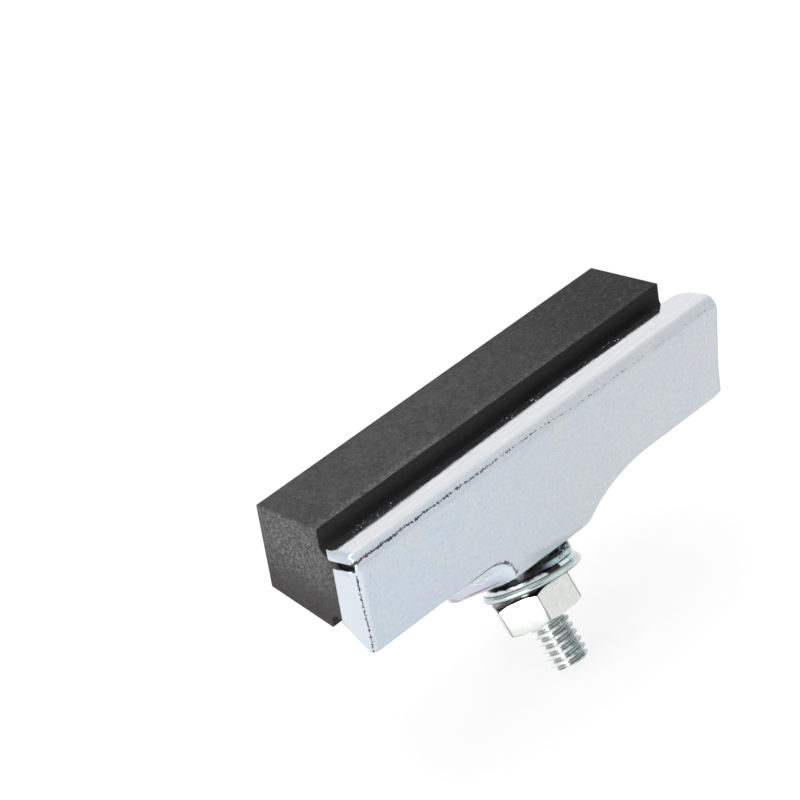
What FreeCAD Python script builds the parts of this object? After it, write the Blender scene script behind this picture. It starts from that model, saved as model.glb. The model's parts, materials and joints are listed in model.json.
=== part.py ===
import FreeCAD, Part
import math
import os
import Sketcher

# Bicycle rim brake pad: a folded sheet holder, the rubber block held in it, and
# the threaded stud with its washers and nut. Lengths are in mm, angles in degrees.
# X runs along the pad from the tabbed end to the open end, Y runs from the holder's
# plate towards the braking face, and Z runs up, from the seat side to the far edge.
# The origin is the middle of the stud's free thread. Each body is drawn about the
# seat point, where the stud's axis leaves the outer surface of the seat.

document = FreeCAD.newDocument("rim_brake_pad")
params = document.addObject("Spreadsheet::Sheet", "params")
params.Label = "params"

driving = [
    # holder, seen on its outer plate
    ("holder_length", 79.2, "length of the folded holder at its top edge"),
    ("far_lean", 1.2, "how much shorter the open end is at the bottom edge"),
    ("far_lean_start", 12.7, "depth below the top edge where the open end starts to lean"),
    ("stud_from_end", 37.7, "stud axis from the tabbed end"),
    ("plate_height", 18.8, "height of the outer plate over its bends"),
    ("sheet", 1.6, "thickness of the sheet"),
    ("flange_reach", 7.8, "reach of both flanges from the plate's outer face"),
    ("flange_slope", 14.5, "slope of the flanges towards each other"),
    ("top_bend_radius", 2.0, "outer radius of the plate's top bend"),
    ("low_bend_radius", 1.2, "outer radius of the bends along the plate's lower edge"),
    ("inner_bend_radius", 0.4, "inner radius of the plate's long bends"),
    ("slot_start", 0.7, "start of the slot from the plate's outer face"),
    ("tab_root_reach", 0.6, "reach of the tab at its lower end"),
    ("corner_cut", 1.5, "height trimmed from the plate's bottom corners"),
    ("corner_step", 0.3, "where the trimmed corner meets the low bend"),
    ("flange_setback", 2.75, "bottom flange stops short of both ends"),
    ("top_setback", 0.5, "top flange stops short of the tab's face"),
    ("near_corner_radius", 1.5, "top flange's free corner at the tabbed end"),
    ("far_corner_radius", 2.75, "top flange's free corner at the open end"),
    # end tab
    ("tab_reach", 5.45, "reach of the tab from the plate's outer face"),
    ("tab_slot", 0.95, "slot between the tab and the top flange"),
    ("tab_free_length", 14.1, "depth of the tab's straight free edge below the top edge"),
    ("tab_root_length", 16.9, "depth of the tab's lower end at the plate"),
    ("tab_bend_radius", 1.25, "outer radius of the tab's bend"),
    # pressed seat
    ("seat_angle", 33.5, "tilt of the seat below the Y axis"),
    ("seat_run", 10.6, "stud axis from the seat's front edge, along the seat"),
    ("hump_drop", 4.55, "front edge of the seat below the plate's bottom edge"),
    ("seat_half_width", 8.7, "half width of the seat at its front edge"),
    ("seat_splay", 0.42, "growth of the half width for each mm of depth"),
    ("flank_angle", 40.0, "slope of the flanks beside the seat"),
    ("flank_radius", 6.0, "radius between a flank and the bottom flange"),
    ("crease_radius", 5.0, "radius between a flank and the seat"),
    ("tongue_radius", 11.8, "round end of the seat about the stud axis"),
    # rubber block
    ("block_start", 1.2, "block's near end from the tab's face"),
    ("block_length", 74.9, "block's length at its inner face"),
    ("block_skew", 1.4, "how much shorter the block is at the braking face"),
    ("block_back", 9.35, "block's inner face from the plate's outer face"),
    ("block_depth", 12.7, "block's depth from inner face to braking face"),
    ("block_rise", 0.5, "block's inner face above the plate's top edge"),
    ("block_hang", 1.2, "lower edge of the block above the plate's lower bend"),
    ("block_taper_top", 1.0, "fall of the block's top side"),
    ("block_taper_bottom", 1.8, "rise of the block's bottom side"),
    ("groove_radius", 1.4, "radius between block and neck"),
    ("neck_clearance", 0.1, "gap between the neck and the holder"),
    ("neck_radius", 1.0, "radius of the neck's long edges"),
    # stud and its hardware
    ("stud_radius", 3.175, "outside radius of the thread"),
    ("stud_reach", 18.2, "stud's tip from the seat"),
    ("stud_tip_chamfer", 0.5, "chamfer on the stud's tip"),
    ("engaged_radius", 2.76, "stud and nut where their threads mesh, at half the thread's depth"),
    ("engaged_past", 0.3, "meshed stretch past each face of the nut"),
    ("head_radius", 6.6, "radius of the stud's head inside the holder"),
    ("head_height", 2.6, "height of the stud's head"),
    ("head_chamfer", 0.6, "chamfer of the stud's head"),
    ("seat_hole_radius", 3.3, "hole in the seat"),
    ("spring_radius", 8.3, "outside radius of the spring washer"),
    ("spring_section", 1.5, "height of the spring washer's section"),
    ("spring_rise", 1.3, "step between the spring washer's ends"),
    ("spring_turn", 0.97, "part of a full turn that the spring washer makes"),
    ("split_turn", 20.0, "place of the split about the stud, from X"),
    ("washer_radius", 8.3, "outside radius of the dished washer"),
    ("washer_height", 1.8, "height of the dished washer"),
    ("washer_bore_radius", 4.65, "bore of both washers"),
    ("washer_play", 0.06, "gap where the washers' bores come nearest the stud"),
    ("washer_dish", 0.5, "depth of the dish"),
    ("washer_land_radius", 7.2, "outside radius of the dished washer's upper rim"),
    ("nut_flats", 12.4, "width over the nut's flats"),
    ("nut_height", 5.15, "height of the nut"),
    ("nut_chamfer", 0.75, "width of the nut's corner chamfer"),
    ("nut_bevel_angle", 30.0, "slope of the nut's corner chamfer"),
    ("nut_turn", 39.0, "turn of the nut about the stud, from the split"),
    ("mount_reach", 13.8, "origin from the seat, along the stud"),
]

row = 1
for alias, value, note in driving:
    params.set("A%d" % row, alias)
    params.set("B%d" % row, str(value))
    params.set("C%d" % row, note)
    params.setAlias("B%d" % row, alias)
    row += 1
document.recompute()

size = {alias: float(getattr(params, alias)) for alias, value, note in driving}

# Places that several sketches share, written as formulas on the driving values.
PLATE_Y = "(-params.seat_run * cos(params.seat_angle))"
NEAR_X = "(-params.stud_from_end)"
FAR_X = "(params.holder_length - params.stud_from_end)"
LOW_Z = "(params.hump_drop + params.seat_run * sin(params.seat_angle))"
HIGH_Z = "(%s + params.plate_height)" % LOW_Z
RIM_Y = "(%s + params.flange_reach)" % PLATE_Y
SLOPE = "tan(params.flange_slope)"
HUMP_TOP = "(%s + params.flange_reach * %s + params.flank_radius / 2)" % (LOW_Z, SLOPE)
TONGUE_END = "(params.tongue_radius * cos(params.seat_angle) + 1)"

# The split spring washer tilts itself and the loose washer. Its split lies split_turn
# round the stud from X, and its rise there gives the tilt, whose low side is opposite.
LEAN = "atan(params.spring_rise / (2 * params.spring_radius))"
SQUARE = "rotation(vector(1; 0; 0); 180 - params.seat_angle) * rotation(vector(0; 0; 1); params.split_turn)"
COILED = SQUARE + " * rotation(vector(0; -1; 0); %s / 2)" % LEAN
LEANING = SQUARE + " * rotation(vector(0; -1; 0); %s)" % LEAN
SEAT_POINT = "vector(0; %s; %s)" % (
    "params.mount_reach * sin(params.seat_angle)", "params.mount_reach * cos(params.seat_angle)")

# The same places as plain numbers, for picking edges and faces.
sin_seat = math.sin(math.radians(size["seat_angle"]))
cos_seat = math.cos(math.radians(size["seat_angle"]))
slope = math.tan(math.radians(size["flange_slope"]))
sheet = size["sheet"]
plate_y = -size["seat_run"] * cos_seat
near_x = -size["stud_from_end"]
far_x = size["holder_length"] - size["stud_from_end"]
low_z = size["hump_drop"] + size["seat_run"] * sin_seat
high_z = low_z + size["plate_height"]
middle_z = (low_z + high_z) / 2
rim_y = plate_y + size["flange_reach"]


def number(owner, expression):
    result = owner.evalExpression(expression)
    return float(getattr(result, "Value", result))


def new_body(label, turn=None, offset="vector(0; 0; 0)"):
    """A body drawn about the seat point; turn is a rotation formula and offset is made in its frame."""
    body = document.addObject("PartDesign::Body", label)
    body.Label = label
    still = "rotation(vector(0; 0; 1); 0)"
    body.setExpression("Placement", "placement(%s; %s) * placement(%s; %s)" % (
        SEAT_POINT, turn or still, offset, still))
    return body


def new_sketch(body, label, role, offset=None, tilted=False):
    sketch = body.newObject("Sketcher::SketchObject", label)
    sketch.Label = label
    plane = [item for item in body.Origin.OriginFeatures if item.Role == role][0]
    sketch.AttachmentSupport = [(plane, "")]
    sketch.MapMode = "FlatFace"
    if tilted:
        turn = FreeCAD.Rotation(FreeCAD.Vector(-1, 0, 0), size["seat_angle"])
        sketch.AttachmentOffset = FreeCAD.Placement(FreeCAD.Vector(0, 0, 0), turn)
        sketch.setExpression("AttachmentOffset.Rotation.Angle", "params.seat_angle")
        sketch.setExpression("AttachmentOffset.Base.y", "(%s) * sin(params.seat_angle)" % offset)
        sketch.setExpression("AttachmentOffset.Base.z", "(%s) * cos(params.seat_angle)" % offset)
    elif offset is not None:
        sketch.setExpression("AttachmentOffset.Base.z", offset)
    return sketch


def pin_point(sketch, geometry, end, x, y):
    index = sketch.addConstraint(
        Sketcher.Constraint("DistanceX", -1, 1, geometry, end, number(sketch, x)))
    sketch.setExpression("Constraints[%d]" % index, x)
    index = sketch.addConstraint(
        Sketcher.Constraint("DistanceY", -1, 1, geometry, end, number(sketch, y)))
    sketch.setExpression("Constraints[%d]" % index, y)


def closed_outline(sketch, points):
    """A closed chain of straight lines through points given as pairs of formulas."""
    places = [FreeCAD.Vector(number(sketch, x), number(sketch, y), 0) for x, y in points]
    count = len(points)
    lines = []
    for i in range(count):
        lines.append(sketch.addGeometry(Part.LineSegment(places[i], places[(i + 1) % count]), False))
    for i in range(count):
        sketch.addConstraint(Sketcher.Constraint("Coincident", lines[i], 2, lines[(i + 1) % count], 1))
        pin_point(sketch, lines[i], 1, points[i][0], points[i][1])
    return lines


def circle_at_origin(sketch, radius):
    value = number(sketch, radius)
    ring = Part.Circle(FreeCAD.Vector(0, 0, 0), FreeCAD.Vector(0, 0, 1), value)
    geometry = sketch.addGeometry(ring, False)
    sketch.addConstraint(Sketcher.Constraint("Coincident", geometry, 3, -1, 1))
    index = sketch.addConstraint(Sketcher.Constraint("Radius", geometry, value))
    sketch.setExpression("Constraints[%d]" % index, radius)
    return geometry


def pad(body, sketch, label, length):
    feature = body.newObject("PartDesign::Pad", label)
    feature.Label = label
    feature.Profile = sketch
    feature.setExpression("Length", length)
    sketch.Visibility = False
    return feature


def pocket_through(body, sketch, label):
    feature = body.newObject("PartDesign::Pocket", label)
    feature.Label = label
    feature.Profile = sketch
    feature.Type = "ThroughAll"
    sketch.Visibility = False
    return feature


def edge_names(shape, wanted):
    names = []
    for i, edge in enumerate(shape.Edges):
        if wanted(edge):
            names.append("Edge%d" % (i + 1))
    return names


def fillet(body, base, label, radius, wanted):
    document.recompute()
    names = edge_names(base.Shape, wanted)
    if not names:
        raise RuntimeError("no edge found for " + label)
    feature = body.newObject("PartDesign::Fillet", label)
    feature.Label = label
    feature.Base = (base, names)
    feature.setExpression("Radius", radius)
    return feature


def near(a, b, limit=0.02):
    return abs(a - b) < limit


def ends(edge):
    return edge.Vertexes[0].Point, edge.Vertexes[-1].Point


# Holder: one folded piece of plated sheet. Its outside and its hollow have the same
# form, the hollow's faces lying one sheet thickness inside the outer ones.
STEEP = "(tan(params.seat_angle) + params.seat_splay * tan(params.flank_angle))"
FLANK = "sqrt(tan(params.flank_angle) ^ 2 + %s ^ 2 + 1)" % STEEP
NARROW = "((%s - 1 / cos(params.seat_angle)) / tan(params.flank_angle))" % FLANK


def hump_profile(body, label, depth, inset, roof):
    seat_z = "(%s / cos(params.seat_angle) - %s * tan(params.seat_angle))" % (inset, depth)
    bare = "(params.seat_half_width + params.seat_splay * (%s - %s))" % (depth, PLATE_Y)
    half = "(%s - %s * %s)" % (bare, inset, NARROW)
    wide = "(%s + (%s - %s) / tan(params.flank_angle))" % (half, roof, seat_z)
    sketch = new_sketch(body, label, "XZ_Plane", "-" + depth)
    closed_outline(sketch, [
        ("-" + half, seat_z),
        (half, seat_z),
        (wide, roof),
        ("-" + wide, roof),
    ])
    return sketch


def folded_form(body, name, inset, past, radii):
    """The folded channel with its pressed seat; past lets the hollow run out of the open sides."""
    inset_size = number(body, inset)
    front_y = plate_y + inset_size
    start = "(%s + %s)" % (NEAR_X, inset)
    front = "(%s + %s)" % (PLATE_Y, inset)
    rim = "(%s + %s)" % (RIM_Y, past)
    roof = "(%s + 2 * %s)" % (HUMP_TOP, past)
    skin = "%s / cos(params.flange_slope)" % inset
    sketch = new_sketch(body, name + "_sketch", "YZ_Plane", start)
    closed_outline(sketch, [
        (front, "%s + (%s - %s) * %s + %s" % (LOW_Z, front, PLATE_Y, SLOPE, skin)),
        (rim, "%s + (%s - %s) * %s + %s" % (LOW_Z, rim, PLATE_Y, SLOPE, skin)),
        (rim, "%s - (%s - %s) * %s - %s" % (HIGH_Z, rim, PLATE_Y, SLOPE, skin)),
        (front, "%s - (%s - %s) * %s - %s" % (HIGH_Z, front, PLATE_Y, SLOPE, skin)),
    ])
    pad(body, sketch, name + "_pad", "params.holder_length - %s + %s" % (inset, past))

    back = "(%s + %s)" % (TONGUE_END, past)
    front_profile = hump_profile(body, name + "_hump_front", front, inset, roof)
    back_profile = hump_profile(body, name + "_hump_back", back, inset, roof)
    loft = body.newObject("PartDesign::AdditiveLoft", name + "_hump")
    loft.Label = name + "_hump"
    loft.Profile = front_profile
    loft.Sections = [back_profile]
    loft.Ruled = True
    front_profile.Visibility = False
    back_profile.Visibility = False

    front_seat_z = (inset_size - front_y * sin_seat) / cos_seat
    front_low_z = low_z + inset_size * slope + inset_size * math.hypot(1, slope)

    def flank_root(edge):
        a, b = ends(edge)
        first, last = (a, b) if a.y < b.y else (b, a)
        inside = all(near_x + inset_size + 1 < p.x < far_x - 1 for p in (a, b))
        rising = first.z < last.z < high_z - size["plate_height"] / 2
        return (inside and rising and near(first.y, front_y) and near(first.z, front_low_z)
                and last.y > front_y + 1 and not near(a.x, b.x))

    def seat_crease(edge):
        a, b = ends(edge)
        first, last = (a, b) if a.y < b.y else (b, a)
        return near(first.y, front_y) and near(first.z, front_seat_z) and last.y > front_y + 5

    def plate_bend(edge):
        a, b = ends(edge)
        on_plate = all(near(vertex.Y, front_y) for vertex in edge.Vertexes)
        upright = near(a.x, b.x) and abs(a.z - b.z) > size["plate_height"] / 2
        return on_plate and not upright

    step = fillet(body, loft, name + "_flank_fillet", radii[0], flank_root)
    step = fillet(body, step, name + "_crease_fillet", radii[1], seat_crease)
    step = fillet(body, step, name + "_top_fillet", radii[2],
                  lambda edge: plate_bend(edge) and edge.Vertexes[0].Z > middle_z)
    step = fillet(body, step, name + "_low_fillet", radii[3],
                  lambda edge: plate_bend(edge) and edge.Vertexes[0].Z < middle_z)
    return step


hollow = document.addObject("PartDesign::Body", "hollow")
hollow.Label = "hollow"
hollow_form = folded_form(hollow, "hollow", "params.sheet", "1", (
    "params.flank_radius",
    "params.crease_radius - params.sheet",
    "params.inner_bend_radius",
    "params.inner_bend_radius",
))

holder = new_body("holder")
outer_form = folded_form(holder, "outer", "0", "0", (
    "params.flank_radius",
    "params.crease_radius",
    "params.top_bend_radius",
    "params.low_bend_radius",
))
hollow_cut = holder.newObject("PartDesign::Boolean", "hollow_cut")
hollow_cut.Label = "hollow_cut"
hollow_cut.Type = "Cut"
hollow_cut.setObjects([hollow])


def tab_corner(edge):
    a, b = ends(edge)
    upright = near(a.x, near_x) and near(b.x, near_x) and near(a.y, plate_y) and near(b.y, plate_y)
    return upright and abs(a.z - b.z) > size["plate_height"] / 2


tab_bend = fillet(holder, hollow_cut, "tab_bend", "params.tab_bend_radius", tab_corner)

# Everything past the rim goes, except the tongue.
plan_sketch = new_sketch(holder, "plan_sketch", "XY_Plane", HIGH_Z + " + 1")
for side in ("", "-"):
    closed_outline(plan_sketch, [
        (side + "params.tongue_radius", RIM_Y),
        (side + "params.holder_length", RIM_Y),
        (side + "params.holder_length", TONGUE_END + " + 3"),
        (side + "params.tongue_radius", TONGUE_END + " + 3"),
    ])
plan_trim = pocket_through(holder, plan_sketch, "plan_trim")

tongue_sketch = new_sketch(holder, "tongue_sketch", "XY_Plane", HIGH_Z, tilted=True)
OUTSIDE = "(params.tongue_radius + 3)"
rows = [
    ("-params.tongue_radius", "0"),
    ("-" + OUTSIDE, "0"),
    ("-" + OUTSIDE, "2 * " + OUTSIDE),
    (OUTSIDE, "2 * " + OUTSIDE),
    (OUTSIDE, "0"),
    ("params.tongue_radius", "0"),
]
spots = [FreeCAD.Vector(number(tongue_sketch, x), number(tongue_sketch, y), 0) for x, y in rows]
lines = []
for i in range(len(rows) - 1):
    lines.append(tongue_sketch.addGeometry(Part.LineSegment(spots[i], spots[i + 1]), False))
    if i > 0:
        pin_point(tongue_sketch, lines[i], 1, rows[i][0], rows[i][1])
for i in range(len(lines) - 1):
    tongue_sketch.addConstraint(Sketcher.Constraint("Coincident", lines[i], 2, lines[i + 1], 1))
pin_point(tongue_sketch, lines[-1], 2, rows[-1][0], rows[-1][1])
full_round = Part.Circle(FreeCAD.Vector(0, 0, 0), FreeCAD.Vector(0, 0, 1), size["tongue_radius"])
tongue_arc = tongue_sketch.addGeometry(Part.ArcOfCircle(full_round, 0, math.pi), False)
tongue_sketch.addConstraint(Sketcher.Constraint("Coincident", tongue_arc, 3, -1, 1))
tongue_sketch.addConstraint(Sketcher.Constraint("Coincident", tongue_arc, 1, lines[-1], 2))
tongue_sketch.addConstraint(Sketcher.Constraint("Coincident", tongue_arc, 2, lines[0], 1))
tongue_sketch.addConstraint(Sketcher.Constraint("Horizontal", lines[0]))
tongue_trim = pocket_through(holder, tongue_sketch, "tongue_trim")

hole_sketch = new_sketch(holder, "hole_sketch", "XY_Plane", "2 * params.sheet", tilted=True)
circle_at_origin(hole_sketch, "params.seat_hole_radius")
seat_hole = pocket_through(holder, hole_sketch, "seat_hole")


def under_top_flange(depth, gap):
    """Height of the top flange's underside at a depth, less a gap square to it."""
    return "(%s - (%s - %s) * %s - (params.sheet + %s) / cos(params.flange_slope))" % (
        HIGH_Z, depth, PLATE_Y, SLOPE, gap)


# The tab: a slot frees it from the top flange and its lower edge slants to the plate.
SLOT_Y = "(%s + params.slot_start)" % PLATE_Y
TAB_Y = "(%s + params.tab_reach)" % PLATE_Y
ROOT_Y = "(%s + params.tab_root_reach)" % PLATE_Y
OPEN_Y = "(%s + 1)" % RIM_Y
INNER_Y = "(%s + params.sheet)" % PLATE_Y
tab_sketch = new_sketch(holder, "tab_sketch", "YZ_Plane", "%s + params.sheet" % NEAR_X)
closed_outline(tab_sketch, [
    (SLOT_Y, under_top_flange(SLOT_Y, "params.tab_slot")),
    (SLOT_Y, under_top_flange(SLOT_Y, "0")),
    (OPEN_Y, under_top_flange(OPEN_Y, "0")),
    (OPEN_Y, LOW_Z + " - 1"),
    (ROOT_Y, LOW_Z + " - 1"),
    (ROOT_Y, HIGH_Z + " - params.tab_root_length"),
    (TAB_Y, HIGH_Z + " - params.tab_free_length"),
    (TAB_Y, under_top_flange(TAB_Y, "params.tab_slot")),
])
tab_trim = pocket_through(holder, tab_sketch, "tab_trim")

top_sketch = new_sketch(holder, "top_sketch", "YZ_Plane", "%s + params.top_setback" % NEAR_X)
closed_outline(top_sketch, [
    (SLOT_Y, under_top_flange(SLOT_Y, "0")),
    (OPEN_Y, under_top_flange(OPEN_Y, "0")),
    (OPEN_Y, HIGH_Z + " + 1"),
    (SLOT_Y, HIGH_Z + " + 1"),
])
top_trim = pocket_through(holder, top_sketch, "top_trim")

# The bottom flange stops short of both ends, and the plate's bottom corners are trimmed.
FLANGE_TOP = "%s + params.flange_reach * %s + 2 * params.sheet" % (LOW_Z, SLOPE)


def flange_trim(label, place, length):
    sketch = new_sketch(holder, label + "_sketch", "YZ_Plane", place)
    closed_outline(sketch, [
        (INNER_Y, LOW_Z + " - 1"),
        (OPEN_Y, LOW_Z + " - 1"),
        (OPEN_Y, FLANGE_TOP),
        (INNER_Y, FLANGE_TOP),
    ])
    feature = holder.newObject("PartDesign::Pocket", label)
    feature.Label = label
    feature.Profile = sketch
    feature.Type = "Length"
    feature.setExpression("Length", length)
    sketch.Visibility = False
    return feature


flange_trim("near_flange_trim", NEAR_X + " + params.flange_setback",
            "params.flange_setback - params.sheet")
flange_trim("far_flange_trim", FAR_X + " + 1",
            "1 + params.far_lean + params.flange_setback")

BELOW = LOW_Z + " - params.hump_drop / 2"
OPEN_END = "(%s + 1)" % FAR_X
SHORT_END = "(%s - params.far_lean)" % FAR_X
end_sketch = new_sketch(holder, "end_sketch", "XZ_Plane", "-(%s - 1)" % PLATE_Y)
closed_outline(end_sketch, [
    (SHORT_END, HIGH_Z + " - params.far_lean_start"),
    (FAR_X, HIGH_Z),
    (OPEN_END, HIGH_Z),
    (OPEN_END, BELOW),
    (SHORT_END + " - params.flange_setback", BELOW),
    (SHORT_END + " - params.flange_setback", LOW_Z + " + params.corner_step"),
    (SHORT_END, LOW_Z + " + params.corner_cut"),
])
closed_outline(end_sketch, [
    (NEAR_X + " - 1", BELOW),
    (NEAR_X + " + params.flange_setback", BELOW),
    (NEAR_X + " + params.flange_setback", LOW_Z + " + params.corner_step"),
    (NEAR_X, LOW_Z + " + params.corner_cut"),
    (NEAR_X + " - 1", LOW_Z + " + params.corner_cut"),
])
end_trim = pocket_through(holder, end_sketch, "end_trim")


def rim_corner(edge, low_x, high_x):
    a, b = ends(edge)
    on_rim = near(a.y, rim_y) and near(b.y, rim_y) and near(a.x, b.x, 0.5)
    return on_rim and min(a.z, b.z) > middle_z and abs(a.z - b.z) > 1 and low_x < a.x < high_x


near_corner = fillet(holder, end_trim, "near_corner", "params.near_corner_radius",
                     lambda edge: rim_corner(edge, near_x, near_x + 3))
far_corner = fillet(holder, near_corner, "far_corner", "params.far_corner_radius",
                    lambda edge: rim_corner(edge, far_x - 3, far_x))
holder.Tip = far_corner
document.recompute()

# Rubber block: a tapered block on a dovetail neck that fills the holder.
rubber = new_body("rubber_block")
BLOCK_Y = "(%s + params.block_back)" % PLATE_Y
FACE_Y = "(%s + params.block_depth)" % BLOCK_Y
NECK_Y = "(%s + params.sheet + params.neck_clearance)" % PLATE_Y
BLOCK_TOP = "(%s + params.block_rise)" % HIGH_Z
BLOCK_LOW = "(%s + params.block_hang)" % LOW_Z
BLOCK_X = "(%s + params.block_start)" % NEAR_X


def over_low_flange(depth, gap):
    return "(%s + (%s - %s) * %s + (params.sheet + %s) / cos(params.flange_slope))" % (
        LOW_Z, depth, PLATE_Y, SLOPE, gap)


block_sketch = new_sketch(rubber, "block_sketch", "YZ_Plane", BLOCK_X)
closed_outline(block_sketch, [
    (NECK_Y, over_low_flange(NECK_Y, "params.neck_clearance")),
    (BLOCK_Y, over_low_flange(BLOCK_Y, "params.neck_clearance")),
    (BLOCK_Y, BLOCK_LOW),
    (FACE_Y, BLOCK_LOW + " + params.block_taper_bottom"),
    (FACE_Y, BLOCK_TOP + " - params.block_taper_top"),
    (BLOCK_Y, BLOCK_TOP),
    (BLOCK_Y, under_top_flange(BLOCK_Y, "params.neck_clearance")),
    (NECK_Y, under_top_flange(NECK_Y, "params.neck_clearance")),
])
block_pad = pad(rubber, block_sketch, "block_pad", "params.block_length")

block_x = near_x + size["block_start"]
block_y = plate_y + size["block_back"]
neck_y = plate_y + sheet + size["neck_clearance"]


def lengthwise(edge):
    a, b = ends(edge)
    return abs(a.x - b.x) > size["block_length"] / 2 and near(a.y, b.y) and near(a.z, b.z)


def groove_edge(edge):
    a = edge.Vertexes[0].Point
    in_neck = low_z + 2 < a.z < high_z - 2
    return lengthwise(edge) and near(a.y, block_y) and in_neck


def neck_edge(edge):
    return lengthwise(edge) and near(edge.Vertexes[0].Point.y, neck_y)


groove = fillet(rubber, block_pad, "groove", "params.groove_radius", groove_edge)
neck_round = fillet(rubber, groove, "neck_round", "params.neck_radius", neck_edge)

# The neck starts behind the tab and the far end is cut a little skew.
relief_sketch = new_sketch(rubber, "relief_sketch", "XY_Plane", HIGH_Z + " + 2")
RELIEF_Y = "(%s + 3 * params.neck_clearance)" % TAB_Y
closed_outline(relief_sketch, [
    (NEAR_X, PLATE_Y),
    (NEAR_X + " + params.sheet + params.neck_clearance", PLATE_Y),
    (NEAR_X + " + params.sheet + params.neck_clearance", RELIEF_Y),
    (NEAR_X, RELIEF_Y),
])
closed_outline(relief_sketch, [
    (BLOCK_X + " + params.block_length", BLOCK_Y),
    (BLOCK_X + " + params.block_length + 2", BLOCK_Y),
    (BLOCK_X + " + params.block_length + 2", FACE_Y + " + 1"),
    (BLOCK_X + " + params.block_length - params.block_skew * (params.block_depth + 1) / params.block_depth",
     FACE_Y + " + 1"),
])
relief = pocket_through(rubber, relief_sketch, "relief")
rubber.Tip = relief
document.recompute()


def turned_body(label, points, turn, offset="vector(0; 0; 0)"):
    """A turned body; each point is a radius and a distance from the seat point."""
    body = new_body(label, turn, offset)
    sketch = new_sketch(body, label + "_sketch", "XZ_Plane")
    closed_outline(sketch, points)
    feature = body.newObject("PartDesign::Revolution", label + "_turning")
    feature.Label = label + "_turning"
    feature.Profile = sketch
    feature.ReferenceAxis = (sketch, ["V_Axis"])
    feature.Angle = 360
    sketch.Visibility = False
    return body, feature


# Spring washer: one turn of a flat coil. Tilted by half the lean, it bears on the seat
# with its low end and on the dished washer's rim with its high end.
SPRING_SHIFT = "(params.washer_bore_radius - params.stud_radius - params.washer_play)"
END_REACH = "(%s + params.washer_bore_radius)" % SPRING_SHIFT
SPRING_LOW = "(-%s * tan(%s / 2))" % (END_REACH, LEAN)
spring = new_body("spring_washer", COILED, "vector(%s; 0; 0)" % SPRING_SHIFT)
spring_sketch = new_sketch(spring, "spring_sketch", "XZ_Plane")
closed_outline(spring_sketch, [
    ("params.washer_bore_radius", SPRING_LOW),
    ("params.spring_radius", SPRING_LOW),
    ("params.spring_radius", SPRING_LOW + " + params.spring_section"),
    ("params.washer_bore_radius", SPRING_LOW + " + params.spring_section"),
])
coil = spring.newObject("PartDesign::AdditiveHelix", "coil")
coil.Label = "coil"
coil.Profile = spring_sketch
coil.ReferenceAxis = (spring_sketch, ["V_Axis"])
coil.Mode = "height-turns-angle"
coil.LeftHanded = True
coil.setExpression("Turns", "params.spring_turn")
coil.setExpression("Height", "params.spring_rise * params.spring_turn")
spring_sketch.Visibility = False
spring.Tip = coil

# Dished washer: a thick washer with a raised rim towards the seat.
COIL_RISE = "(params.spring_section + params.spring_rise * params.spring_turn)"
LAND_REACH = "(%s + params.washer_land_radius - params.washer_dish)" % SPRING_SHIFT
WASHER_LOW = "(cos(%s / 2) * %s - sin(%s / 2) * (%s + %s))" % (LEAN, COIL_RISE, LEAN, END_REACH, LAND_REACH)
WASHER_TOP = "(%s + params.washer_height)" % WASHER_LOW
SHOULDER = "params.washer_radius - params.washer_land_radius"
dished, dished_turning = turned_body("dished_washer", [
    ("params.washer_bore_radius", WASHER_LOW + " + params.washer_dish"),
    ("params.washer_land_radius - params.washer_dish", WASHER_LOW),
    ("params.washer_land_radius", WASHER_LOW),
    ("params.washer_radius", WASHER_LOW + " + " + SHOULDER),
    ("params.washer_radius", WASHER_TOP),
    ("params.washer_bore_radius", WASHER_TOP),
], LEANING, "vector(%s + params.spring_section * tan(%s); 0; 0)" % (SPRING_SHIFT, LEAN))
washer_low = number(dished, WASHER_LOW)


def shoulder(edge):
    if len(edge.Vertexes) != 1:
        return False
    spot = edge.Vertexes[0].Point
    radius = math.hypot(spot.x, spot.y)
    drop = size["washer_radius"] - size["washer_land_radius"]
    on_land = near(radius, size["washer_land_radius"]) and near(spot.z, washer_low)
    on_side = near(radius, size["washer_radius"]) and near(spot.z, washer_low + drop)
    return on_land or on_side


shoulder_round = fillet(dished, dished_turning, "shoulder_round", "params.washer_dish", shoulder)
dished.Tip = shoulder_round

# Stud: one piece with a low round head that bears on the seat inside the holder.
# Where the nut sits, stud and bore are drawn at half the thread's depth.
CORNER = "(params.nut_flats / sqrt(3))"
BEVEL_IN = "(%s - params.nut_chamfer)" % CORNER
HEAD_TOP = "(-params.sheet)"
HEAD_LOW = "(%s - params.head_height)" % HEAD_TOP
NUT_LOW = "((%s + %s * sin(%s)) / cos(%s))" % (WASHER_TOP, BEVEL_IN, LEAN, LEAN)
NUT_TOP = "(%s + params.nut_height)" % NUT_LOW
stud, stud_turning = turned_body("stud", [
    ("0", HEAD_LOW),
    ("params.head_radius - params.head_chamfer", HEAD_LOW),
    ("params.head_radius", HEAD_LOW + " + params.head_chamfer"),
    ("params.head_radius", HEAD_TOP),
    ("params.stud_radius", HEAD_TOP),
    ("params.stud_radius", NUT_LOW + " - params.engaged_past"),
    ("params.engaged_radius", NUT_LOW + " - params.engaged_past"),
    ("params.engaged_radius", NUT_TOP + " + params.engaged_past"),
    ("params.stud_radius", NUT_TOP + " + params.engaged_past"),
    ("params.stud_radius", "params.stud_reach - params.stud_tip_chamfer"),
    ("params.stud_radius - params.stud_tip_chamfer", "params.stud_reach"),
    ("0", "params.stud_reach"),
], SQUARE)
stud.Tip = stud_turning

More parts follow.
